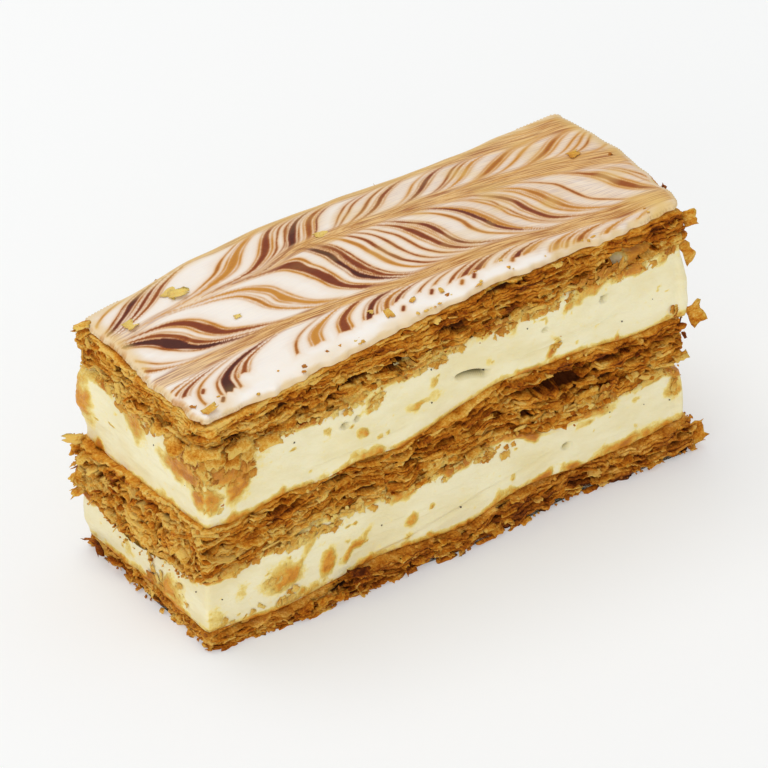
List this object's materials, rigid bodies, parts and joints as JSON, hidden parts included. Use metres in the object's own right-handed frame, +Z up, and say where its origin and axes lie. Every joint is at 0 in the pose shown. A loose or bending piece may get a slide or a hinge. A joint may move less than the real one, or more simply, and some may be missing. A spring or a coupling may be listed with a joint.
{
  "type": "mille feuille slice",
  "caption": "Oblong slice of mille feuille: crisp puff pastry and vanilla pastry cream in layers, with a feathered white and chocolate fondant top.",
  "frame": {"origin": "middle of the slice's footprint, on the surface that it stands on", "axes": "+Z up, +X along the slice's length towards its taller end, +Y across its width"},
  "size_m": [0.1146, 0.0478, 0.0583],
  "materials": {
    "puff_pastry": "matt, flaky",
    "pastry_cream": "smooth, faintly moist",
    "fondant": "set, softly glossy, with feathered chocolate lines"
  },
  "bodies": {
    "root": {"pastry_bottom": "puff_pastry", "cream_lower": "pastry_cream", "pastry_middle": "puff_pastry", "cream_upper": "pastry_cream", "pastry_top": "puff_pastry", "fondant_icing": "fondant"}
  },
  "joints": []
}
